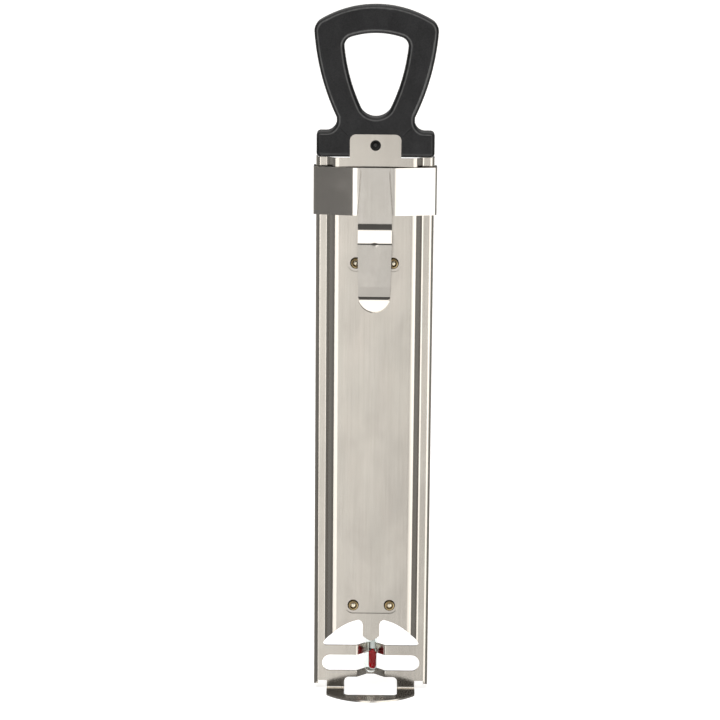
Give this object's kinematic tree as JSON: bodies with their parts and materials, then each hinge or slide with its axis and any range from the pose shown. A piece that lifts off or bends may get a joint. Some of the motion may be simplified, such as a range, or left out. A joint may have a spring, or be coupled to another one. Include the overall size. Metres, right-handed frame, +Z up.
{
  "type": "cooking thermometer",
  "caption": "Stainless paddle cooking thermometer with a glass tube, slotted bulb guard, foot, sliding spring clip for a pan rim and black loop handle.",
  "frame": {"origin": "centre of the bounding box's bottom face, level with the underside of the foot", "axes": "+Z up the paddle to the handle, +Y towards the glass tube and scale, -Y towards the pan clip, +X across the paddle"},
  "size_m": [0.0532, 0.0254, 0.3046],
  "materials": {
    "stainless_sheet": "vertically brushed, satin",
    "clip_steel": "bright, finely brushed",
    "black_plastic": "satin moulded, fine grain",
    "rivet_brass": "nickel-washed brass, rolled end",
    "clear_glass": "clear, fire polished",
    "stem_glass": "clear with a milky back",
    "red_spirit": "deep red dyed spirit",
    "plug_rubber": "pale matt"
  },
  "bodies": {
    "paddle": {"paddle_plate": "stainless_sheet", "handle": "black_plastic", "handle_pin": "black_plastic", "glass_envelope": "clear_glass", "capillary_stem": "stem_glass", "envelope_plug": "plug_rubber", "spirit_bulb": "red_spirit", "spirit_column": "red_spirit", "upper_tube_strap": "stainless_sheet", "lower_tube_strap": "stainless_sheet", "rivet_upper_left": "rivet_brass", "rivet_upper_right": "rivet_brass", "rivet_lower_left": "rivet_brass", "rivet_lower_right": "rivet_brass"},
    "clip": {"clip_band": "clip_steel"},
    "tongue": {"clip_tongue": "clip_steel"},
    "reading": {"spirit_meniscus": "red_spirit"}
  },
  "joints": [
    {"name": "clip_slide", "type": "slide", "parent": "paddle", "child": "clip", "axis": [0, 0, 1], "range_m": [-0.15, 0.0038]},
    {"name": "tongue_flex", "type": "hinge", "parent": "clip", "child": "tongue", "pos_m": [0, -0.0006, 0.2342], "axis": [-1, 0, 0], "range_deg": [0, 5], "stiffness_Nm_per_rad": 4},
    {"name": "spirit_rise", "type": "slide", "parent": "paddle", "child": "reading", "axis": [0, 0, 1], "range_m": [0, 0.163], "deforming": ["spirit_column"]}
  ]
}
